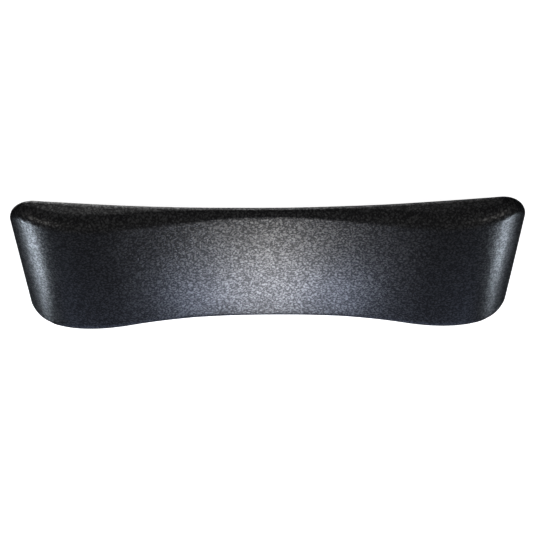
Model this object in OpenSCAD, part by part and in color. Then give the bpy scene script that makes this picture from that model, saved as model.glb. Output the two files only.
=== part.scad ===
// Chair armrest pad
//
// A saddle-shaped polyurethane arm pad. A grained skin covers a foam core, and both are
// bonded to a moulded carrier. The carrier holds a steel mounting plate with four threaded
// inserts, and a shallow screwed-on cover closes the underside.
//
// The origin is the centre of the mounting face. +X runs along the arm, +Y across it, +Z up.
// All sizes are in millimetres.

/* [Pad shape] */
// Overall length
pad_length = 260; // [240:1:290]
// Overall width, at the two ends
pad_width = 94.2; // [90:0.2:102]
// How far each long side is drawn in at mid-length
waist_depth = 5.4; // [4:0.1:8]
// Radius of the four corners, seen from above
corner_radius = 12.9; // [12:0.1:20]
// Height of the armrest surface above the mounting face, at mid-length
middle_height = 17.8; // [17.6:0.1:23]
// Rise of the saddle curve from the middle to the ends, before the ends roll over
saddle_rise = 20.9; // [15:0.1:23]
// Length over which each end rolls over
roll_length = 55.3; // [46:0.1:62]
// Drop of the surface from the centreline to the long sides
crown = 0.6; // [0:0.1:2]
// Radius of the soft edge along the sides, at mid-length
edge_radius = 3.4; // [2.8:0.1:4]
// Radius of the soft edge along the sides, where the pad is tallest
hump_edge_radius = 6.5; // [4:0.1:7.5]

/* [Skin and foam] */
// Height of the skirt at mid-length, from the armrest surface to the widest line
skirt_height = 3.4; // [3:0.1:3.6]
// How much lower the widest line lies at the ends
skirt_droop = 2.7; // [0.6:0.1:4]
// Height over which the skin curls under, from the widest line to its lower edge
tuck_height = 3.6; // [2.6:0.1:4]
// How far the skin curls in under the pad
tuck_width = 4.2; // [3:0.1:5]
// Height of the plain wall left at the very ends
end_wall = 1; // [0.8:0.1:2]
// Thickness of the skin over the top and sides
skin_thickness = 2; // [1.4:0.1:2.2]

/* [Carrier] */
// Thickness of the carrier's curved deck
deck_thickness = 3.4; // [3:0.1:4]
// How far the deck stands up inside the skirt
deck_lap = 1.5; // [1:0.1:1.7]
// Thickness of the carrier's walls and ribs
rib_thickness = 2.2; // [1.6:0.2:2.6]

/* [Mounting plate] */
// Length of the steel plate
plate_length = 112; // [110:1:116]
// Width of the steel plate
plate_width = 44; // [43:0.5:45]
// Thickness of the steel plate
plate_thickness = 2; // [1.5:0.5:2.5]
// Distance between threaded holes along the arm
hole_spacing_x = 100; // [90:1:100]
// Distance between threaded holes across the arm
hole_spacing_y = 30; // [26:1:30]
// Core diameter of the threaded holes, 5 mm for an M6 thread
thread_core = 5; // [4.2:0.1:5.2]

/* [Underside cover] */
// Wall thickness of the cover
cover_thickness = 1.5; // [1.2:0.1:1.5]
// Length of the cover's flat base
base_length = 198; // [196:1:204]
// Width of the cover's flat base
base_width = 52; // [50:0.5:54]

/* [Hidden] */

// Facets on small round features and on the very large arcs of the plan, straight steps in half
// the length of the skirt's lower edge, and a joining overlap
round_fn = 48;
arc_fn = 1440;
seam_steps = 12;
bite = 1;
// Clearance between parts that only touch
fit_gap = 0.1;

half_length = pad_length / 2;
half_width = pad_width / 2;
waist_half = half_width - waist_depth;

// The waist of each long side is one arc, tangent to the corner arcs
waist_radius = (pow(half_length, 2) + pow(waist_depth, 2)) / (2 * waist_depth);
corner_x = half_length - corner_radius;
corner_y = waist_half + waist_radius - sqrt(pow(waist_radius + corner_radius, 2) - pow(corner_x, 2));
corner_lean = asin(corner_x / (waist_radius + corner_radius));
side_end_x = waist_radius * sin(corner_lean);

// The skin's lower edge is one arc, seen from the side
seam_height = middle_height - skirt_height - tuck_height;
seam_radius = (pow(half_length, 2) + pow(skirt_droop, 2)) / (2 * skirt_droop);

// The end roll is part of an ellipse that is roll_overrun times as deep as the roll itself
end_drop = saddle_rise + skirt_height + skirt_droop - end_wall;
roll_overrun = 1.8;
roll_axis = roll_overrun * end_drop;
roll_cut = sqrt(1 - pow(1 - 1 / roll_overrun, 2));

// Insets from the pad's outline, at the sides and at the ends, where the skin is thicker
end_thickening = 1.6;
skirt_end = end_thickening * skin_thickness;
deck_gap = 1;
deck_end_gap = 1;
deck_side = tuck_width + skin_thickness + deck_gap;
deck_end = tuck_width + skirt_end + deck_end_gap;
rim_step = 1.5;
rim_side = deck_side + rim_step;
rim_end = deck_end + rim_step;
rim_width = 2.4;
foam_end_gap = 1.2;
// Each soft surface as [side inset, end inset, depth below the top, height above the lower edge]
outer_face = [0, 0, 0, 0];
inner_face = [skin_thickness, skirt_end, skin_thickness, 0];
foam_face = [
    skin_thickness + fit_gap, skirt_end + foam_end_gap, skin_thickness + fit_gap, deck_lap + fit_gap
];

// The rounded edge swells to its full radius at this share of the half length
swell_reach = 0.7;
// The edge shrinks where the wall gets low: the least wall height that is reckoned with,
// the share of it that the edge takes, and the least height between the edge and the widest line
least_wall = 0.5;
edge_share = 0.9;
least_step = 0.2;

// Steps of the soft surfaces: along the sides, round the corners, up the curled-under part,
// round the edge, and from the edge in to the centreline
side_steps = 14;
corner_steps = 8;
tucks = [1, 0.75, 0.5, 0.25, 0];
edge_turns = [0, 22.5, 45, 67.5, 90];
reaches = [0.06, 0.14, 0.24, 0.38, 0.56, 0.77, 0.97];

// Carrier: a hollow box under the deck bears on the plate
box_length = plate_length + 8;
box_width = plate_width + 6;
box_corner = 5;
deck_bottom = deck_lap - deck_thickness;
insert_tube_radius = 8;
boss_radius = 4;
rib_offset = 9;
rib_far_x = 100;
rib_height = 3.2;

// Threaded inserts
insert_pilot_radius = 4.2;
insert_flange_radius = 6;
insert_flange_height = 1.2;
insert_barrel_radius = 4.6;
insert_height = 5;
insert_side_gap = 0.3;
insert_top_gap = 0.8;

// Countersunk screws that hold the plate to the carrier
plate_screw_x = 30;
plate_screw_y = 15;
plate_screw_length = 7.5;
plate_head_radius = 3.3;
plate_head_depth = 0.15;
screw_radius = 1.75;
screw_core = 1.4;
screw_gap = 0.2;

// Cross recesses in the screw heads, as [span, depth]
plate_recess = [3.4, 1.1];
pan_recess = [3.8, 1.2];
recess_width = 0.9;

// Pan-head screws that hold the cover to the carrier
cover_screw_places = [[72, 15], [72, -15], [-72, 15], [-72, -15], [92, 0], [-92, 0]];
cover_screw_length = 7;
pan_radius = 3.4;
pan_gap = 0.4;
pan_height = 2.1;
seat_height = 2.9;
seat_thickness = 1.2;
cup_radius = 5.2;

// Underside cover
cover_floor = 0.4;
cover_gap = 0.1;
rim_top = deck_bottom - cover_gap;
rim_bottom = rim_top - cover_thickness;
tray_end_x = half_length - rim_end;
tray_side_angle = 39;
window_gap = 0.4;

// ---- Curves of the pad ----

// Height of the skin's lower edge
function seam_z(x) = seam_height - seam_radius + sqrt(pow(seam_radius, 2) - x * x);

// Drop of the end roll
function roll_drop(x) =
    let (along = max(0, abs(x) - half_length + roll_length) / roll_length)
    roll_axis * (1 - sqrt(1 - pow(min(1, along) * roll_cut, 2)));

// Height of the armrest surface
function top_z(x, y) =
    middle_height + saddle_rise * pow(x / half_length, 2) - roll_drop(x)
    - crown * pow(y / half_width, 2);

// One quarter of the outline, from the end to the waist, as [x, y, outward x, outward y]
QUARTER = [
    for (i = [0 : corner_steps - 1])
        let (turn = (90 + corner_lean) * i / corner_steps)
        [corner_x + corner_radius * cos(turn), corner_y + corner_radius * sin(turn),
            cos(turn), sin(turn)],
    for (i = [0 : side_steps])
        let (lean = corner_lean * (1 - i / side_steps))
        [waist_radius * sin(lean), waist_half + waist_radius * (1 - cos(lean)),
            -sin(lean), cos(lean)]
];

// The +Y side, from the +X end to the -X end, and then the whole outline
SIDE = concat(
    QUARTER,
    [for (i = [len(QUARTER) - 2 : -1 : 0]) let (p = QUARTER[i]) [-p[0], p[1], -p[2], p[3]]]
);
OUTLINE = concat(SIDE, -SIDE);
COUNT = len(OUTLINE);

// ---- Soft surfaces, as rings of points ----

// Height of a face, which lies below the armrest surface and also in from its ends
function face_z(x, y, face) =
    top_z(x * half_length / (half_length - end_thickening * face[2]), y) - face[2];

// Radius of the soft edge where there is room for it
function swollen_radius(x) =
    let (swell = pow(sin(90 * min(1, abs(x) / (swell_reach * half_length))), 2))
    edge_radius + (hump_edge_radius - edge_radius) * swell;

// A point of the widest line moved in by the face's own inset, with the edge radius that fits there
function wall_point(p, face) =
    let (
        inset = face[0] + (face[1] - face[0]) * p[2] * p[2],
        x = p[0] - inset * p[2],
        y = p[1] - inset * p[3],
        widest = seam_z(x) + tuck_height,
        rise = max(least_wall, face_z(x, y, face) - widest)
    )
    [x, y, widest, min(swollen_radius(x) - face[0], edge_share * rise)];

// A point on the quarter ellipse that curls in and down from the widest line
function tuck_point(p, face, share) =
    let (
        w = wall_point(p, face),
        turn = share * asin(1 - face[3] / tuck_height),
        inward = tuck_width * (1 - cos(turn)),
        x = w[0] - inward * p[2],
        y = w[1] - inward * p[3]
    )
    [x, y, seam_z(x) + tuck_height * (1 - sin(turn))];

function edge_point(p, face, turn) =
    let (
        w = wall_point(p, face),
        inward = w[3] * (1 - cos(turn)),
        x = w[0] - inward * p[2],
        y = w[1] - inward * p[3],
        z = face_z(x, y, face) - w[3] * (1 - sin(turn))
    )
    [x, y, max(z, w[2] + least_step)];

function top_point(p, face, reach) =
    let (
        e = edge_point(p, face, 90),
        spine = half_length - half_width,
        x = e[0] + reach * (min(spine, max(-spine, e[0])) - e[0]),
        y = e[1] * (1 - reach)
    )
    [x, y, face_z(x, y, face)];

function shell_points(face) = concat(
    [for (share = tucks, p = OUTLINE) tuck_point(p, face, share)],
    [for (turn = edge_turns, p = OUTLINE) edge_point(p, face, turn)],
    [for (reach = reaches, p = OUTLINE) top_point(p, face, reach)]
);

LEVELS = len(tucks) + len(edge_turns) + len(reaches);

// Triangles of the wall through all rings; an inner wall is turned inside out
function wall_faces(first, inner) = [
    for (level = [0 : LEVELS - 2], i = [0 : COUNT - 1])
        let (
            a = first + level * COUNT + i,
            b = first + level * COUNT + (i + 1) % COUNT,
            c = a + COUNT,
            d = b + COUNT
        )
        each inner ? [[a, d, c], [a, b, d]] : [[a, c, d], [a, d, b]]
];

// Triangles that close one ring, in strips across the pad
function cap_faces(first, downward) = [
    for (i = [0 : COUNT / 2 - 2])
        let (
            a = first + i,
            b = a + 1,
            c = first + COUNT - 1 - i,
            d = c - 1
        )
        each downward ? [[a, b, c], [b, d, c]] : [[b, a, c], [b, c, d]]
];

// ---- Plan and side shapes of the rigid parts ----

// The pad's outline, moved in by the given distances
module plan(side_inset, end_inset) {
    intersection() {
        union() {
            difference() {
                square([2 * side_end_x, 2 * half_width], center = true);
                for (side = [-1, 1])
                    translate([0, side * (waist_half + waist_radius)])
                        circle(waist_radius + side_inset, $fn = arc_fn);
            }
            square([pad_length, 2 * corner_y], center = true);
            for (sx = [-1, 1], sy = [-1, 1])
                translate([sx * corner_x, sy * corner_y])
                    circle(corner_radius - side_inset, $fn = 2 * round_fn);
        }
        square([pad_length - 2 * end_inset, pad_width], center = true);
    }
}

// A slab across the whole pad between two curves parallel to the skirt's lower edge
module seam_slab(low, high) {
    stations = [for (i = [-seam_steps : seam_steps]) i * half_length / seam_steps];
    rotate([90, 0, 0])
        linear_extrude(pad_width, center = true)
            polygon(concat(
                [for (x = stations) [x, seam_z(x) + low]],
                [for (x = stations) [-x, seam_z(x) + high]]
            ));
}

module rounded_plate(length, width, radius, thickness) {
    linear_extrude(thickness) {
        square([length - 2 * radius, width], center = true);
        square([length, width - 2 * radius], center = true);
        for (sx = [-1, 1], sy = [-1, 1])
            translate([sx * (length / 2 - radius), sy * (width / 2 - radius)])
                circle(radius, $fn = round_fn);
    }
}

module at_inserts() {
    for (sx = [-1, 1], sy = [-1, 1])
        translate([sx * hole_spacing_x / 2, sy * hole_spacing_y / 2, 0]) children();
}

module at_plate_screws() {
    for (sx = [-1, 1], sy = [-1, 1])
        translate([sx * plate_screw_x, sy * plate_screw_y, 0]) children();
}

module at_cover_screws() {
    for (place = cover_screw_places)
        translate([place[0], place[1], 0]) children();
}

// ---- Soft parts ----

module pad_skin() {
    inner_first = LEVELS * COUNT;
    rim = [
        for (i = [0 : COUNT - 1])
            let (a = i, b = (i + 1) % COUNT, c = inner_first + a, d = inner_first + b)
            each [[a, b, d], [a, d, c]]
    ];
    color([0.07, 0.07, 0.08])
        polyhedron(
            concat(shell_points(outer_face), shell_points(inner_face)),
            concat(
                wall_faces(0, false), cap_faces((LEVELS - 1) * COUNT, false),
                wall_faces(inner_first, true), cap_faces(inner_first + (LEVELS - 1) * COUNT, true),
                rim
            )
        );
}

module foam_core() {
    color([0.22, 0.22, 0.23])
        polyhedron(
            shell_points(foam_face),
            concat(
                wall_faces(0, false), cap_faces((LEVELS - 1) * COUNT, false), cap_faces(0, true)
            )
        );
}

// ---- Carrier and mounting plate ----

// Two stiffening ribs run under the deck from the box towards each end
module deck_ribs() {
    intersection() {
        seam_slab(deck_bottom - rib_height, deck_lap - bite);
        for (side = [-1, 1], end = [-1, 1])
            translate([end * (box_length / 2 + rib_far_x) / 2, side * rib_offset, middle_height / 2])
                cube([rib_far_x - box_length / 2 + 2 * bite, rib_thickness, middle_height],
                    center = true);
    }
}

module carrier() {
    box_top = seam_z(box_length / 2) + deck_bottom + bite;
    pocket_height = insert_height + insert_top_gap;
    color([0.16, 0.16, 0.17])
        difference() {
            union() {
                intersection() {
                    seam_slab(deck_bottom, deck_lap);
                    linear_extrude(middle_height) plan(deck_side, deck_end);
                }
                translate([0, 0, plate_thickness])
                    difference() {
                        rounded_plate(box_length, box_width, box_corner, box_top - plate_thickness);
                        translate([0, 0, -bite])
                            rounded_plate(box_length - 2 * rib_thickness, box_width - 2 * rib_thickness,
                                box_corner - rib_thickness, box_top);
                    }
                translate([-box_length / 2 + bite, -rib_thickness / 2, plate_thickness])
                    cube([box_length - 2 * bite, rib_thickness, box_top - plate_thickness]);
                for (x = [-1, 0, 1] * plate_screw_x)
                    translate([x - rib_thickness / 2, -box_width / 2 + bite, plate_thickness])
                        cube([rib_thickness, box_width - 2 * bite, box_top - plate_thickness]);
                translate([0, 0, plate_thickness]) {
                    at_inserts()
                        cylinder(box_top - plate_thickness, r = insert_tube_radius, $fn = round_fn);
                    at_plate_screws()
                        cylinder(box_top - plate_thickness, r = boss_radius, $fn = round_fn);
                }
                translate([0, 0, seat_height + seat_thickness])
                    at_cover_screws()
                        cylinder(seam_z(tray_end_x) - seat_height, r = boss_radius, $fn = round_fn);
                deck_ribs();
            }
            translate([0, 0, plate_thickness - bite])
                at_inserts()
                    cylinder(pocket_height + bite, r = insert_flange_radius + insert_side_gap,
                        $fn = round_fn);
            translate([0, 0, plate_thickness - bite])
                at_plate_screws()
                    cylinder(plate_screw_length + bite, r = screw_core, $fn = round_fn);
            translate([0, 0, seat_height])
                at_cover_screws()
                    cylinder(cover_screw_length + fit_gap, r = screw_core, $fn = round_fn);
        }
}

module mounting_plate() {
    color([0.72, 0.73, 0.75])
        difference() {
            rounded_plate(plate_length, plate_width, box_corner, plate_thickness);
            translate([0, 0, -bite]) {
                at_inserts()
                    cylinder(plate_thickness + 2 * bite, r = insert_pilot_radius + fit_gap,
                        $fn = round_fn);
                at_plate_screws()
                    cylinder(plate_thickness + 2 * bite, r = screw_radius + screw_gap, $fn = round_fn);
            }
            at_plate_screws() countersink(plate_head_radius + fit_gap);
        }
}

// A 90 degree cone, widest at the mounting face
module countersink(radius) {
    depth = radius - screw_radius;
    cylinder(depth, r1 = radius, r2 = screw_radius, $fn = round_fn);
}

module threaded_inserts() {
    color([0.80, 0.68, 0.38])
        at_inserts()
            difference() {
                union() {
                    cylinder(plate_thickness + bite, r = insert_pilot_radius, $fn = round_fn);
                    translate([0, 0, plate_thickness])
                        cylinder(insert_flange_height, r = insert_flange_radius, $fn = round_fn);
                    translate([0, 0, plate_thickness])
                        cylinder(insert_height, r = insert_barrel_radius, $fn = round_fn);
                }
                translate([0, 0, -bite])
                    cylinder(plate_thickness + insert_height + 2 * bite, d = thread_core, $fn = round_fn);
            }
}

// The cross recess in a screw head, open at z = 0
module cross_recess(recess) {
    for (turn = [0, 90])
        rotate([0, 0, turn])
            translate([0, 0, (recess[1] - bite) / 2])
                cube([recess[0], recess_width, recess[1] + bite], center = true);
}

module plate_screws() {
    color([0.66, 0.67, 0.70])
        at_plate_screws()
            translate([0, 0, plate_head_depth])
                difference() {
                    union() {
                        countersink(plate_head_radius - plate_head_depth);
                        cylinder(plate_screw_length - 2 * plate_head_depth, r = screw_core - fit_gap,
                            $fn = round_fn);
                    }
                    cross_recess(plate_recess);
                }
}

// ---- Underside cover ----

// The tray's outer form, or with shrink its hollow
module tray(shrink) {
    slope = tan(tray_side_angle);
    floor_z = cover_floor + shrink;
    end_z = seam_z(tray_end_x) + rim_bottom + shrink;
    half_base = base_width / 2 - shrink * tan(tray_side_angle / 2);
    intersection() {
        rotate([90, 0, 0])
            linear_extrude(pad_width, center = true)
                polygon([
                    [-tray_end_x, end_z], [-base_length / 2, floor_z], [base_length / 2, floor_z],
                    [tray_end_x, end_z], [tray_end_x, middle_height], [-tray_end_x, middle_height]
                ]);
        rotate([90, 0, 90])
            linear_extrude(pad_length, center = true)
                polygon([
                    [-half_base, floor_z], [half_base, floor_z],
                    [half_base + (middle_height - floor_z) / slope, middle_height],
                    [-half_base - (middle_height - floor_z) / slope, middle_height]
                ]);
        translate([0, 0, -bite])
            linear_extrude(middle_height + 2 * bite)
                plan(rim_side + (shrink > 0 ? rim_width : 0), rim_end + (shrink > 0 ? rim_width : 0));
    }
}

module base_cover() {
    color([0.13, 0.13, 0.14])
        difference() {
            union() {
                difference() {
                    union() {
                        tray(0);
                        intersection() {
                            seam_slab(rim_bottom, rim_top);
                            linear_extrude(middle_height) plan(rim_side, rim_end);
                        }
                    }
                    seam_slab(rim_top, rim_top + middle_height);
                    tray(cover_thickness);
                }
                translate([0, 0, cover_floor])
                    at_cover_screws()
                        cylinder(seat_height + seat_thickness - cover_floor, r = cup_radius,
                            $fn = round_fn);
            }
            translate([0, 0, -bite])
                rounded_plate(plate_length + 2 * window_gap, plate_width + 2 * window_gap,
                    box_corner + window_gap, cover_floor + cover_thickness + 2 * bite);
            translate([0, 0, -bite])
                at_cover_screws() {
                    cylinder(seat_height + bite, r = pan_radius + pan_gap, $fn = round_fn);
                    cylinder(seat_height + seat_thickness + 2 * bite, r = screw_radius + screw_gap,
                        $fn = round_fn);
                }
        }
}

module cover_screws() {
    color([0.10, 0.10, 0.11])
        at_cover_screws()
            difference() {
                union() {
                    translate([0, 0, seat_height - pan_height])
                        cylinder(pan_height, r = pan_radius, $fn = round_fn);
                    translate([0, 0, seat_height - bite])
                        cylinder(cover_screw_length + bite - fit_gap, r = screw_core - fit_gap,
                            $fn = round_fn);
                }
                translate([0, 0, seat_height - pan_height]) cross_recess(pan_recess);
            }
}

pad_skin();
foam_core();
carrier();
mounting_plate();
threaded_inserts();
plate_screws();
base_cover();
cover_screws();
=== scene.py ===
"""Looks of a saddle-shaped armrest pad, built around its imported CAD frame.

Everything is in metres in the frame's own axes: +X along the arm, +Y across it, +Z up.
The grained skin and the foam core are meshed here; the rigid parts keep their CAD meshes
and get procedural materials.
"""

import math

import bmesh
import bpy
import numpy as np
from mathutils import Matrix, Vector


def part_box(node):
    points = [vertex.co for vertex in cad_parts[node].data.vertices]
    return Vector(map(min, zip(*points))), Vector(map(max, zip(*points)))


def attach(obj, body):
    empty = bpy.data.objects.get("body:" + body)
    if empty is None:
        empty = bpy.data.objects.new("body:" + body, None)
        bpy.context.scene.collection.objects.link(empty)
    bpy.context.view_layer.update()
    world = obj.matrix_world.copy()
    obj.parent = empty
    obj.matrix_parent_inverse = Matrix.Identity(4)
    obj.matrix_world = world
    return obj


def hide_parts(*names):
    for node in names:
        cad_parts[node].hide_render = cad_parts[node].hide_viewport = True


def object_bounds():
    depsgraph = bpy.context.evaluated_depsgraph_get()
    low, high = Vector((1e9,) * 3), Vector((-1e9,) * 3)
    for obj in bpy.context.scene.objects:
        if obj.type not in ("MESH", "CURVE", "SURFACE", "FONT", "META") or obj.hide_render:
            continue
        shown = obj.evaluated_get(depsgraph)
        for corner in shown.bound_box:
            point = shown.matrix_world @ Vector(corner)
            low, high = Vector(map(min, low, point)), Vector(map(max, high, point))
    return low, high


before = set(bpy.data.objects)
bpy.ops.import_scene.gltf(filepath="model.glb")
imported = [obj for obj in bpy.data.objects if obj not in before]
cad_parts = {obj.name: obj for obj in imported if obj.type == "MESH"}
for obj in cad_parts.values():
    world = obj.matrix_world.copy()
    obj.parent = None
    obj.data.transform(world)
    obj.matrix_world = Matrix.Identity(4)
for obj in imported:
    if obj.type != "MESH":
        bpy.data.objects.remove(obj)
cad_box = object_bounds()

MM = 0.001

# ---- Camera, floor and surroundings ----

CAMERA_ELEVATION = math.radians(40.0)
CAMERA_TILT = math.radians(0.5)
CAMERA_DISTANCE = 0.6111
CAMERA_LENS = 78.82
CAMERA_SENSOR = 36.0
CAMERA_SHIFT = (-0.0029, 0.0040)
CAMERA_NEAREST = 0.01

# What the pad mirrors away from the lamps is brighter overhead and on the camera's side than beyond
# the pad and below it; the range is of the cosine between a direction and the brightest one
AMBIENT_LOW = 0.02
AMBIENT_HIGH = 0.27
AMBIENT_BRIGHTEST = (0.0, -0.6, 0.8)
AMBIENT_FROM = -0.4
AMBIENT_TO = 0.8

FLOOR_HALF = 3.0
# Keeps the floor clear of the plate that rests on it
FLOOR_GAP = 0.1 * MM

WARM_WHITE = (1.0, 0.97, 0.92)
SOFT_WHITE = (1.0, 0.97, 0.93)
PALE_BLUE = (0.78, 0.88, 1.0)
SKY_BLUE = (0.66, 0.75, 1.0)
WINDOW_BLUE = (0.54, 0.66, 1.0)

# ---- Shape of the soft parts: the length is the frame's, the rest are the pad's driving sizes ----

HALF_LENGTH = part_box("pad_skin")[1][0]
HALF_WIDTH = 47.1 * MM
WAIST_DEPTH = 5.4 * MM
CORNER_RADIUS = 12.9 * MM
MIDDLE_HEIGHT = 17.8 * MM
SADDLE_RISE = 20.9 * MM
ROLL_LENGTH = 55.3 * MM
CROWN = 0.6 * MM
EDGE_RADIUS = 3.4 * MM
HUMP_EDGE_RADIUS = 6.5 * MM
SWELL_REACH = 0.7
SKIRT_HEIGHT = 3.4 * MM
SKIRT_DROOP = 2.7 * MM
TUCK_HEIGHT = 3.6 * MM
TUCK_WIDTH = 4.2 * MM
END_WALL = 1.0 * MM
ROLL_OVERRUN = 1.8
END_THICKENING = 1.6
LEAST_WALL = 0.5 * MM
EDGE_SHARE = 0.9
LEAST_STEP = 0.2 * MM

WAIST_HALF = HALF_WIDTH - WAIST_DEPTH
WAIST_RADIUS = (HALF_LENGTH**2 + WAIST_DEPTH**2) / (2 * WAIST_DEPTH)
CORNER_X = HALF_LENGTH - CORNER_RADIUS
CORNER_Y = WAIST_HALF + WAIST_RADIUS - math.sqrt((WAIST_RADIUS + CORNER_RADIUS) ** 2 - CORNER_X**2)
CORNER_LEAN = math.asin(CORNER_X / (WAIST_RADIUS + CORNER_RADIUS))
SEAM_HEIGHT = MIDDLE_HEIGHT - SKIRT_HEIGHT - TUCK_HEIGHT
SEAM_RADIUS = (HALF_LENGTH**2 + SKIRT_DROOP**2) / (2 * SKIRT_DROOP)
ROLL_AXIS = ROLL_OVERRUN * (SADDLE_RISE + SKIRT_HEIGHT + SKIRT_DROOP - END_WALL)
ROLL_CUT = math.sqrt(1 - (1 - 1 / ROLL_OVERRUN) ** 2)

# How finely the skin and the foam are meshed
SKIN_STEPS = {"corner_steps": 20, "side_steps": 112, "columns": 50, "tuck": 8, "wall": 5, "edge": 9}
FOAM_STEPS = {"corner_steps": 10, "side_steps": 60, "columns": 24, "tuck": 4, "wall": 3, "edge": 5}

# Each soft surface: side inset, end inset, depth below the top, height above the lower edge
OUTER_FACE = (0.0, 0.0, 0.0, 0.0)
INNER_FACE = (2.0 * MM, 3.2 * MM, 2.0 * MM, 0.0)
FOAM_FACE = (2.1 * MM, 4.4 * MM, 2.1 * MM, 1.6 * MM)


def seam_z(x):
    """Height of the skin's lower edge."""
    return SEAM_HEIGHT - SEAM_RADIUS + np.sqrt(SEAM_RADIUS**2 - x * x)


def top_z(x, y):
    """Height of the armrest surface: a saddle whose two ends roll over."""
    along = np.clip((np.abs(x) - HALF_LENGTH + ROLL_LENGTH) / ROLL_LENGTH, 0, 1)
    roll = ROLL_AXIS * (1 - np.sqrt(1 - (along * ROLL_CUT) ** 2))
    return MIDDLE_HEIGHT + SADDLE_RISE * (x / HALF_LENGTH) ** 2 - roll - CROWN * (y / HALF_WIDTH) ** 2


def face_z(x, y, face):
    """Height of one surface's top: the armrest surface, sunk by the surface's depth below it."""
    stretch = HALF_LENGTH / (HALF_LENGTH - END_THICKENING * face[2])
    return top_z(x * stretch, y) - face[2]


def swollen_radius(x):
    """Radius of the soft edge where there is room for it."""
    swell = np.sin(math.pi / 2 * np.minimum(1, np.abs(x) / (SWELL_REACH * HALF_LENGTH))) ** 2
    return EDGE_RADIUS + (HUMP_EDGE_RADIUS - EDGE_RADIUS) * swell


def side_points(corner_steps, side_steps):
    """The +Y side of the outline, from the +X end to the -X end, as x, y and outward x, y."""
    turn = (math.pi / 2 + CORNER_LEAN) * np.arange(corner_steps) / corner_steps
    lean = CORNER_LEAN * (1 - np.arange(side_steps + 1) / side_steps)
    corner = np.stack([
        CORNER_X + CORNER_RADIUS * np.cos(turn), CORNER_Y + CORNER_RADIUS * np.sin(turn),
        np.cos(turn), np.sin(turn),
    ], axis=1)
    side = np.stack([
        WAIST_RADIUS * np.sin(lean), WAIST_HALF + WAIST_RADIUS * (1 - np.cos(lean)),
        -np.sin(lean), np.cos(lean),
    ], axis=1)
    quarter = np.vstack([corner, side])
    return np.vstack([quarter, quarter[-2::-1] * [-1, 1, -1, 1]])


def outline(side, columns):
    """The closed outline: +Y side, -X end, -Y side, +X end."""
    y = CORNER_Y * (1 - 2 * np.arange(1, columns) / columns)
    end = np.stack([np.full_like(y, HALF_LENGTH), y, np.ones_like(y), np.zeros_like(y)], axis=1)
    return np.vstack([side, end * [-1, 1, -1, 1], side[::-1] * [1, -1, 1, -1], end[::-1]])


class Surface:
    """One soft surface: rings of points up the tuck, the skirt and the edge, then a grid over the top."""

    def __init__(self, face, corner_steps, side_steps, columns, tuck, wall, edge):
        side = side_points(corner_steps, side_steps)
        loop = outline(side, columns)
        self.rows, self.columns, self.count = len(side), columns, len(loop)
        nx, ny = loop[:, 2], loop[:, 3]
        inset = face[0] + (face[1] - face[0]) * nx * nx
        x, y = loop[:, 0] - inset * nx, loop[:, 1] - inset * ny
        widest = seam_z(x) + TUCK_HEIGHT
        rise = np.maximum(LEAST_WALL, face_z(x, y, face) - widest)
        radius = np.minimum(swollen_radius(x) - face[0], EDGE_SHARE * rise)
        full_turn = math.asin(1 - face[3] / TUCK_HEIGHT)
        rings = []
        for step in range(tuck):
            turn = full_turn * (1 - step / tuck)
            back = TUCK_WIDTH * (1 - math.cos(turn))
            tx, ty = x - back * nx, y - back * ny
            rings.append((tx, ty, seam_z(tx) + TUCK_HEIGHT * (1 - math.sin(turn))))
        shoulder = np.maximum(face_z(x, y, face) - radius, widest + LEAST_STEP)
        for step in range(wall):
            rings.append((x, y, widest + (shoulder - widest) * step / wall))
        for step in range(edge + 1):
            turn = math.pi / 2 * step / edge
            back = radius * (1 - math.cos(turn))
            ex, ey = x - back * nx, y - back * ny
            z = face_z(ex, ey, face) - radius * (1 - math.sin(turn))
            rings.append((ex, ey, np.maximum(z, widest + LEAST_STEP)))
        self.levels = len(rings)
        points = np.concatenate([np.stack(ring, axis=1) for ring in rings])
        last = points[-self.count:]
        gx = last[1:self.rows - 1, 0][:, None]
        gy = last[1:self.rows - 1, 1][:, None] * (1 - 2 * np.arange(1, columns) / columns)
        gx = np.broadcast_to(gx, gy.shape)
        grid = np.stack([gx, gy, face_z(gx, gy, face)], axis=2).reshape(-1, 3)
        self.points = np.vstack([points, grid])

    def wall_faces(self):
        count = self.count
        return [
            (level * count + i, level * count + (i + 1) % count,
             (level + 1) * count + (i + 1) % count, (level + 1) * count + i)
            for level in range(self.levels - 1) for i in range(count)
        ]

    def grid_index(self, row, column, ring):
        """The vertex of a grid that is bounded by the given ring; only the top grid has an inside."""
        rows, columns = self.rows, self.columns
        first = ring * self.count
        if column == 0:
            return first + row
        if column == columns:
            return first + rows + columns - 1 + rows - 1 - row
        if row == 0:
            return first + 2 * rows + columns - 1 + columns - 1 - column
        if row == rows - 1:
            return first + rows + column - 1
        return self.levels * self.count + (row - 1) * (columns - 1) + column - 1

    def top_faces(self):
        ring = self.levels - 1
        return [
            tuple(self.grid_index(row + a, column + b, ring) for a, b in ((0, 0), (0, 1), (1, 1), (1, 0)))
            for row in range(self.rows - 1) for column in range(self.columns)
        ]

    def floor_faces(self):
        """Strips across the lowest ring."""
        strips = [
            tuple(self.grid_index(row + a, column, 0) for a, column in
                  ((0, 0), (1, 0), (1, self.columns), (0, self.columns)))
            for row in range(1, self.rows - 2)
        ]
        ends = []
        for row in (0, self.rows - 2):
            first = [self.grid_index(row, column, 0) for column in range(self.columns + 1)]
            second = [self.grid_index(row + 1, column, 0) for column in range(self.columns + 1)]
            if row == 0:
                ends.append(tuple(first) + (second[-1], second[0]))
            else:
                ends.append((first[0], first[-1]) + tuple(second[::-1]))
        return strips + ends


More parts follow.
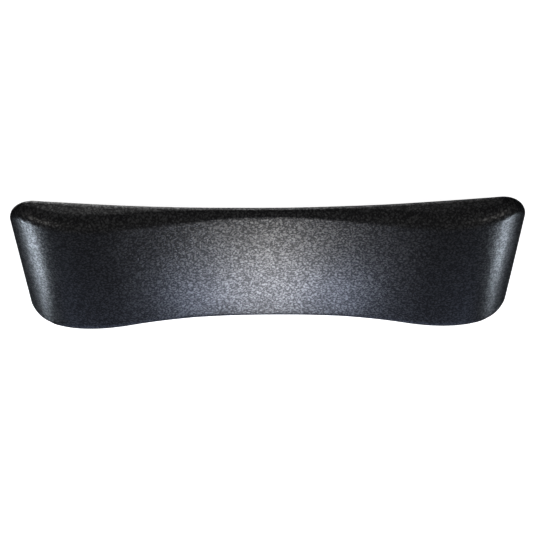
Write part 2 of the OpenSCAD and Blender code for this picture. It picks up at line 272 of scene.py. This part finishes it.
def unevenness(points, seed, size, height, waves=7):
    """A slow random swell of the surface, as a sum of plane waves."""
    draw = np.random.default_rng(seed)
    swell = np.zeros(len(points))
    for _ in range(waves):
        direction = draw.normal(size=3)
        direction /= np.linalg.norm(direction)
        length = size * draw.uniform(0.6, 1.7)
        swell += np.sin(points @ direction * 2 * math.pi / length + draw.uniform(0, 2 * math.pi))
    return height * swell / math.sqrt(waves)


def mesh_object(name, points, faces, material, sharp_angle):
    mesh = bpy.data.meshes.new(name)
    mesh.from_pydata([tuple(p) for p in points.tolist()], [], faces)
    work = bmesh.new()
    work.from_mesh(mesh)
    bmesh.ops.recalc_face_normals(work, faces=work.faces)
    work.to_mesh(mesh)
    work.free()
    mesh.shade_smooth()
    mesh.set_sharp_from_angle(angle=math.radians(sharp_angle))
    mesh.materials.append(material)
    piece = bpy.data.objects.new(name, mesh)
    bpy.context.collection.objects.link(piece)
    return piece


# ---- Materials ----


class Nodes:
    """A material's node tree, with short calls for the nodes used here."""

    def __init__(self, name):
        self.material = bpy.data.materials.new(name)
        self.material.use_nodes = True
        self.tree = self.material.node_tree
        self.bsdf = self.tree.nodes["Principled BSDF"]
        self.place = self.add("ShaderNodeTexCoord").outputs["Object"]

    def add(self, kind, **settings):
        node = self.tree.nodes.new(kind)
        for key, value in settings.items():
            setattr(node, key, value)
        return node

    def link(self, source, target):
        self.tree.links.new(source, target)

    def fill(self, node, inputs):
        for key, value in inputs.items():
            if isinstance(value, bpy.types.NodeSocket):
                self.link(value, node.inputs[key])
            else:
                node.inputs[key].default_value = value
        return node

    def stretched(self, scale):
        return self.fill(self.add("ShaderNodeMapping"), {"Vector": self.place, "Scale": scale}).outputs[0]

    def noise(self, scale, detail=2.0, vector=None, roughness=0.5):
        node = self.fill(self.add("ShaderNodeTexNoise"), {
            "Vector": vector or self.place, "Scale": scale, "Detail": detail, "Roughness": roughness})
        return node.outputs["Fac"]

    def cells(self, scale, vector, feature="DISTANCE_TO_EDGE"):
        node = self.add("ShaderNodeTexVoronoi", feature=feature)
        return self.fill(node, {"Vector": vector, "Scale": scale}).outputs["Distance"]

    def math(self, operation, a, b=0.0, clamp=False):
        node = self.add("ShaderNodeMath", operation=operation, use_clamp=clamp)
        return self.fill(node, {0: a, 1: b}).outputs[0]

    def remap(self, value, low, high, to_low, to_high, smooth=True):
        node = self.add("ShaderNodeMapRange", interpolation_type="SMOOTHSTEP" if smooth else "LINEAR")
        return self.fill(node, {0: value, 1: low, 2: high, 3: to_low, 4: to_high}).outputs[0]

    def mix_colour(self, factor, a, b):
        node = self.add("ShaderNodeMix", data_type="RGBA")
        self.fill(node, {"Factor": factor})
        for key, value in ((6, a), (7, b)):
            if isinstance(value, bpy.types.NodeSocket):
                self.link(value, node.inputs[key])
            else:
                node.inputs[key].default_value = (*value, 1)
        return node.outputs[2]

    def warped(self, scale, amount):
        """The object's own coordinates, pushed about a little so that cells lose their straight sides."""
        noise = self.fill(self.add("ShaderNodeTexNoise"),
                          {"Vector": self.place, "Scale": scale, "Detail": 1.0})
        shift = self.fill(self.add("ShaderNodeVectorMath", operation="SCALE"),
                          {0: noise.outputs["Color"], "Scale": amount})
        total = self.fill(self.add("ShaderNodeVectorMath"), {0: self.place, 1: shift.outputs[0]})
        return total.outputs[0]

    def bump(self, height, distance, strength=1.0, normal=None):
        inputs = {"Height": height, "Distance": distance, "Strength": strength}
        if normal:
            inputs["Normal"] = normal
        return self.fill(self.add("ShaderNodeBump"), inputs).outputs[0]

    def worn_edges(self, radius, low=0.02, high=0.25):
        """1 along sharp convex edges and 0 elsewhere, from how far a bevelled normal turns away."""
        bevel = self.fill(self.add("ShaderNodeBevel", samples=6), {"Radius": radius}).outputs[0]
        flat = self.add("ShaderNodeNewGeometry").outputs["Normal"]
        turn = self.fill(self.add("ShaderNodeVectorMath", operation="DOT_PRODUCT"), {0: bevel, 1: flat})
        return self.remap(self.math("SUBTRACT", 1.0, turn.outputs["Value"]), low, high, 0.0, 1.0), bevel


def skin_material():
    """Black moulded polyurethane with a fine pebbled leather grain."""
    n = Nodes("arm_pad_skin")
    warped = n.warped(420.0, 1.3 * MM)
    pebbles = n.remap(n.cells(540.0, warped), 0.02, 0.42, 0.0, 1.0)
    wrinkle = n.math("ABSOLUTE", n.math("SUBTRACT", n.noise(560.0, 1.5, warped), 0.5))
    wrinkles = n.remap(wrinkle, 0.0, 0.16, 0.0, 1.0)
    height = n.math("ADD", n.math("MULTIPLY", pebbles, 0.4), n.math("MULTIPLY", wrinkles, 0.6))
    slow = n.noise(28.0, 3.0)
    mottle = n.noise(160.0, 2.0)
    tone = n.math("ADD", n.math("MULTIPLY", slow, 0.5), n.math("MULTIPLY", mottle, 0.5))
    colour = n.mix_colour(tone, (0.0075, 0.0075, 0.0085), (0.012, 0.012, 0.0135))
    valley_shade_and_roughness = n.remap(pebbles, 0.0, 0.5, 1.0, 0.0)
    # Painted shade: the colour is darkened towards near-black in the hollows between the pebbles; the same
    # mask also raises the roughness there a little.
    colour = n.mix_colour(n.math("MULTIPLY", valley_shade_and_roughness, 0.55), colour, (0.004, 0.004, 0.0045))
    pointed = n.add("ShaderNodeNewGeometry").outputs["Pointiness"]
    rubbed = n.math("MULTIPLY", n.remap(pointed, 0.505, 0.56, 0.0, 1.0),
                    n.remap(mottle, 0.35, 0.7, 0.2, 1.0))
    colour = n.mix_colour(n.math("MULTIPLY", rubbed, 0.3), colour, (0.020, 0.020, 0.022))
    roughness = n.math("ADD", n.remap(slow, 0.3, 0.7, 0.28, 0.29), n.math("MULTIPLY", valley_shade_and_roughness, 0.02))
    shine = n.remap(height, 0.15, 0.9, 0.15, 0.92, smooth=False)
    n.fill(n.bsdf, {
        "Base Color": colour, "Roughness": roughness, "IOR": 1.47, "Specular IOR Level": shine,
        "Normal": n.bump(height, 0.035 * MM, 1.0),
    })
    return n.material


def foam_material():
    """Dark grey flexible foam with open cells."""
    n = Nodes("arm_pad_foam")
    cells = n.remap(n.cells(900.0, n.warped(700.0, 0.6 * MM), "F1"), 0.1, 0.7, 0.0, 1.0)
    coarse = n.remap(n.cells(320.0, n.place, "F1"), 0.12, 0.3, 0.0, 1.0)
    height = n.math("ADD", n.math("MULTIPLY", cells, 0.5), n.math("MULTIPLY", coarse, 0.5))
    colour = n.mix_colour(n.noise(60.0, 3.0), (0.045, 0.045, 0.047), (0.085, 0.085, 0.088))
    # Painted shade: the pits of the open cells are darkened to near-black.
    colour = n.mix_colour(height, (0.012, 0.012, 0.012), colour)
    n.fill(n.bsdf, {"Base Color": colour, "Roughness": 0.95, "Normal": n.bump(height, 0.4 * MM, 0.9)})
    return n.material


def plastic_material(name, dark, light, roughness, grain_scale, depth, streak=0.0):
    """Moulded plastic with a spark-eroded texture, faint flow lines and rubbed edges."""
    n = Nodes(name)
    grain = n.noise(grain_scale, 4.0, roughness=0.7)
    flow = n.noise(1.0, 2.0, n.stretched((14.0, 70.0, 70.0)))
    worn, bevel = n.worn_edges(0.5 * MM)
    chipped = n.math("MULTIPLY", worn, n.remap(n.noise(700.0, 3.0), 0.35, 0.65, 0.25, 1.0))
    colour = n.mix_colour(n.noise(45.0, 3.0), dark, light)
    colour = n.mix_colour(n.math("MULTIPLY", flow, streak), colour, tuple(c * 1.8 for c in light))
    colour = n.mix_colour(n.math("MULTIPLY", chipped, 0.5), colour, tuple(c * 2.6 for c in light))
    rough = n.math("SUBTRACT", n.remap(grain, 0.3, 0.7, roughness - 0.05, roughness + 0.09),
                   n.math("MULTIPLY", chipped, 0.15))
    n.fill(n.bsdf, {"Base Color": colour, "Roughness": rough, "Normal": n.bump(grain, depth, 0.8, bevel)})
    return n.material


def steel_material(name, tint, roughness, along):
    """Zinc-plated steel, brushed along one axis, with a mottled spangle and bright worn edges."""
    n = Nodes(name)
    scale = tuple(40.0 if axis == along else 2600.0 for axis in range(3))
    brushed = n.noise(1.0, 3.0, n.stretched(scale), 0.65)
    spangle = n.noise(120.0, 4.0)
    worn, bevel = n.worn_edges(0.35 * MM)
    colour = n.mix_colour(n.remap(spangle, 0.3, 0.7, 0.0, 1.0), tuple(0.82 * c for c in tint), tint)
    colour = n.mix_colour(n.math("MULTIPLY", worn, 0.7), colour, (0.82, 0.82, 0.84))
    rough = n.math("ADD", n.remap(brushed, 0.25, 0.75, roughness - 0.08, roughness + 0.12),
                   n.math("MULTIPLY", spangle, 0.08))
    n.fill(n.bsdf, {
        "Base Color": colour, "Metallic": 1.0, "Roughness": rough, "Anisotropic": 0.4,
        "Normal": n.bump(brushed, 0.02 * MM, 0.6, bevel),
    })
    return n.material


def turned_material(name, tint, metallic, roughness):
    """Turned metal: fine tool marks, a little tarnish and worn edges."""
    n = Nodes(name)
    marks = n.noise(1.0, 2.0, n.stretched((160.0, 160.0, 5200.0)))
    tarnish = n.noise(260.0, 4.0)
    worn, bevel = n.worn_edges(0.2 * MM)
    colour = n.mix_colour(n.remap(tarnish, 0.35, 0.7, 0.0, 1.0), tint, tuple(0.62 * c for c in tint))
    bright = tuple(min(1.0, 1.35 * c + 0.05) for c in tint)
    colour = n.mix_colour(n.math("MULTIPLY", worn, 0.6), colour, bright)
    rough = n.remap(tarnish, 0.3, 0.7, roughness - 0.05, roughness + 0.12)
    n.fill(n.bsdf, {
        "Base Color": colour, "Metallic": metallic, "Roughness": rough,
        "Normal": n.bump(marks, 0.015 * MM, 0.6, bevel),
    })
    return n.material


# ---- Pieces ----


def build_skin():
    """The grained skin as a closed 2 mm shell, open below, with a rounded lower edge."""
    outer = Surface(OUTER_FACE, **SKIN_STEPS)
    inner = Surface(INNER_FACE, **SKIN_STEPS)
    outer.points[:, 2] += unevenness(outer.points, seed=5, size=55 * MM, height=0.06 * MM)
    shift = len(outer.points)
    points = np.vstack([outer.points, inner.points])
    faces = outer.wall_faces() + outer.top_faces()
    faces += [tuple(shift + i for i in face) for face in inner.wall_faces() + inner.top_faces()]
    rim = [(i, (i + 1) % outer.count) for i in range(outer.count)]
    faces += [(first, second, shift + second, shift + first) for first, second in rim]
    skin = mesh_object("grained_skin", points, faces, skin_material(), 50)
    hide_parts("pad_skin")
    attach(skin, "root")


def build_foam():
    """The foam core, which fills the skin down to the carrier's deck."""
    body = Surface(FOAM_FACE, **FOAM_STEPS)
    body.points[:, 2] -= np.abs(unevenness(body.points, seed=9, size=9 * MM, height=0.05 * MM))
    floor = body.points[: body.count]
    floor[:, 2] = seam_z(floor[:, 0]) + FOAM_FACE[3]
    faces = body.wall_faces() + body.top_faces() + body.floor_faces()
    foam = mesh_object("foam_filling", body.points, faces, foam_material(), 40)
    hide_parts("foam_core")
    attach(foam, "root")


def finish_rigid_parts():
    """The CAD parts keep their meshes; each gets its own finish."""
    finishes = {
        "carrier": plastic_material("carrier_nylon", (0.030, 0.030, 0.032), (0.046, 0.046, 0.048),
                                    0.55, 1500.0, 0.05 * MM, 0.12),
        "base_cover": plastic_material("cover_abs", (0.018, 0.018, 0.0195), (0.027, 0.027, 0.029),
                                       0.50, 1900.0, 0.06 * MM),
        "mounting_plate": steel_material("plate_zinc", (0.62, 0.63, 0.65), 0.34, 0),
        "plate_screws": turned_material("screw_zinc", (0.66, 0.67, 0.69), 1.0, 0.30),
        "threaded_inserts": turned_material("insert_brass", (0.78, 0.58, 0.27), 1.0, 0.28),
        "cover_screws": turned_material("screw_black", (0.030, 0.030, 0.032), 0.6, 0.38),
    }
    for node, material in finishes.items():
        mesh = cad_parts[node].data
        mesh.materials.clear()
        mesh.materials.append(material)


# ---- Studio ----


def area_light(name, place, target, size, power, colour=(1, 1, 1)):
    """A rectangular lamp that points at the target and isn't seen by the camera."""
    light = bpy.data.lights.new(name, "AREA")
    light.shape = "RECTANGLE"
    light.size, light.size_y = size
    light.energy = power
    light.color = colour
    lamp = bpy.data.objects.new(name, light)
    bpy.context.collection.objects.link(lamp)
    lamp.location = place
    lamp.rotation_euler = (Vector(target) - Vector(place)).to_track_quat("-Z", "Y").to_euler()
    lamp.visible_camera = False


def build_floor(z):
    """A plain pale floor that keeps a faint soft shadow.

    It neither shows in the pad nor lights it, it lets the lamps below it through, and it is
    clear when seen from below, so the underside can be looked at.
    """
    half, z = FLOOR_HALF, z - FLOOR_GAP
    corners = [(-half, -half, z), (half, -half, z), (half, half, z), (-half, half, z)]
    mesh = bpy.data.meshes.new("floor")
    mesh.from_pydata(corners, [], [(0, 1, 2, 3)])
    n = Nodes("floor_paper")
    n.fill(n.bsdf, {"Base Color": (0.8, 0.8, 0.8, 1), "Roughness": 0.9, "Specular IOR Level": 0.0,
                    "Emission Color": (1, 1, 1, 1), "Emission Strength": 0.95})
    below = n.add("ShaderNodeNewGeometry").outputs["Backfacing"]
    clear = n.add("ShaderNodeBsdfTransparent").outputs[0]
    one_sided = n.fill(n.add("ShaderNodeMixShader"), {0: below, 1: n.bsdf.outputs[0], 2: clear})
    n.link(one_sided.outputs[0], n.tree.nodes["Material Output"].inputs["Surface"])
    mesh.materials.append(n.material)
    floor = bpy.data.objects.new("floor", mesh)
    bpy.context.collection.objects.link(floor)
    floor.visible_glossy = False
    floor.visible_diffuse = False
    floor.visible_shadow = False


def build_world():
    """White where the camera sees it; what the pad mirrors is dimmer, most so below it."""
    world = bpy.data.worlds.new("studio")
    bpy.context.scene.world = world
    world.use_nodes = True
    tree = world.node_tree
    background = tree.nodes["Background"]
    direction = tree.nodes.new("ShaderNodeTexCoord").outputs["Generated"]
    facing = tree.nodes.new("ShaderNodeVectorMath")
    facing.operation = "DOT_PRODUCT"
    facing.inputs[1].default_value = AMBIENT_BRIGHTEST
    tree.links.new(direction, facing.inputs[0])
    dim = tree.nodes.new("ShaderNodeMapRange")
    dim.interpolation_type = "SMOOTHSTEP"
    for index, value in enumerate((AMBIENT_FROM, AMBIENT_TO, AMBIENT_LOW, AMBIENT_HIGH), start=1):
        dim.inputs[index].default_value = value
    tree.links.new(facing.outputs["Value"], dim.inputs[0])
    seen = tree.nodes.new("ShaderNodeLightPath").outputs["Is Camera Ray"]
    strength = tree.nodes.new("ShaderNodeMapRange")
    strength.inputs[4].default_value = 1.0
    tree.links.new(seen, strength.inputs[0])
    tree.links.new(dim.outputs[0], strength.inputs[3])
    tree.links.new(strength.outputs[0], background.inputs["Strength"])
    background.inputs["Color"].default_value = (1, 1, 1, 1)


def direction_point(centre, azimuth, elevation, distance):
    """A point seen from the centre: azimuth from +Y towards +X, elevation above the horizon, degrees."""
    around, above = math.radians(azimuth), math.radians(elevation)
    level = math.cos(above)
    return centre + distance * Vector((level * math.sin(around), level * math.cos(around), math.sin(above)))


def build_lights(centre):
    """Lamps on the far side, where the top mirrors them, beyond both ends, at the sides and below."""
    def place(azimuth, elevation, distance):
        return direction_point(centre, azimuth, elevation, distance)

    area_light("near_panel", place(0, 41.1, 0.150), centre, (0.030, 0.066), 0.061, WARM_WHITE)
    area_light("middle_panel", place(0, 33.8, 0.1435), centre, (0.080, 0.020), 0.058, SKY_BLUE)
    area_light("window", place(0, 19, 1.5), centre, (1.6, 0.7), 2.8, WINDOW_BLUE)
    for side, end_power in ((1, 0.34), (-1, 0.26)):
        end = centre + Vector((side * 0.11, 0, 0))
        area_light(f"end_panel_{side}", place(side * 64.4, 12.5, 0.362), end, (0.150, 0.008), end_power,
                   PALE_BLUE)
        area_light(f"side_fill_{side}", place(side * 118, 42, 1.2), centre, (0.5, 0.7), 1.6, SOFT_WHITE)
        area_light(f"under_fill_{side}", place(90 + side * 60, -62, 1.0), centre, (0.8, 0.5), 4.0)


def build_camera(centre):
    """The pad is seen from its long side, 40 degrees up, with the camera held upside down."""
    back = Vector((0, -math.cos(CAMERA_ELEVATION), math.sin(CAMERA_ELEVATION)))
    up = Vector((0, math.sin(CAMERA_ELEVATION), math.cos(CAMERA_ELEVATION)))
    right = Vector((1, 0, 0))
    turned_right = -math.cos(CAMERA_TILT) * right + math.sin(CAMERA_TILT) * up
    turned_up = -math.sin(CAMERA_TILT) * right - math.cos(CAMERA_TILT) * up
    data = bpy.data.cameras.new("camera")
    data.sensor_width = CAMERA_SENSOR
    data.lens = CAMERA_LENS
    data.shift_x, data.shift_y = CAMERA_SHIFT
    data.clip_start = CAMERA_NEAREST
    camera = bpy.data.objects.new("camera", data)
    bpy.context.collection.objects.link(camera)
    axes = Matrix((turned_right, turned_up, back)).transposed().to_4x4()
    camera.matrix_world = Matrix.Translation(centre + CAMERA_DISTANCE * back) @ axes
    bpy.context.scene.camera = camera


build_skin()
build_foam()
finish_rigid_parts()
surface_centre = Vector((0, 0, MIDDLE_HEIGHT))
build_floor(cad_box[0][2])
build_world()
build_lights(surface_centre)
build_camera(surface_centre)
bpy.context.scene.view_settings.view_transform = "Standard"
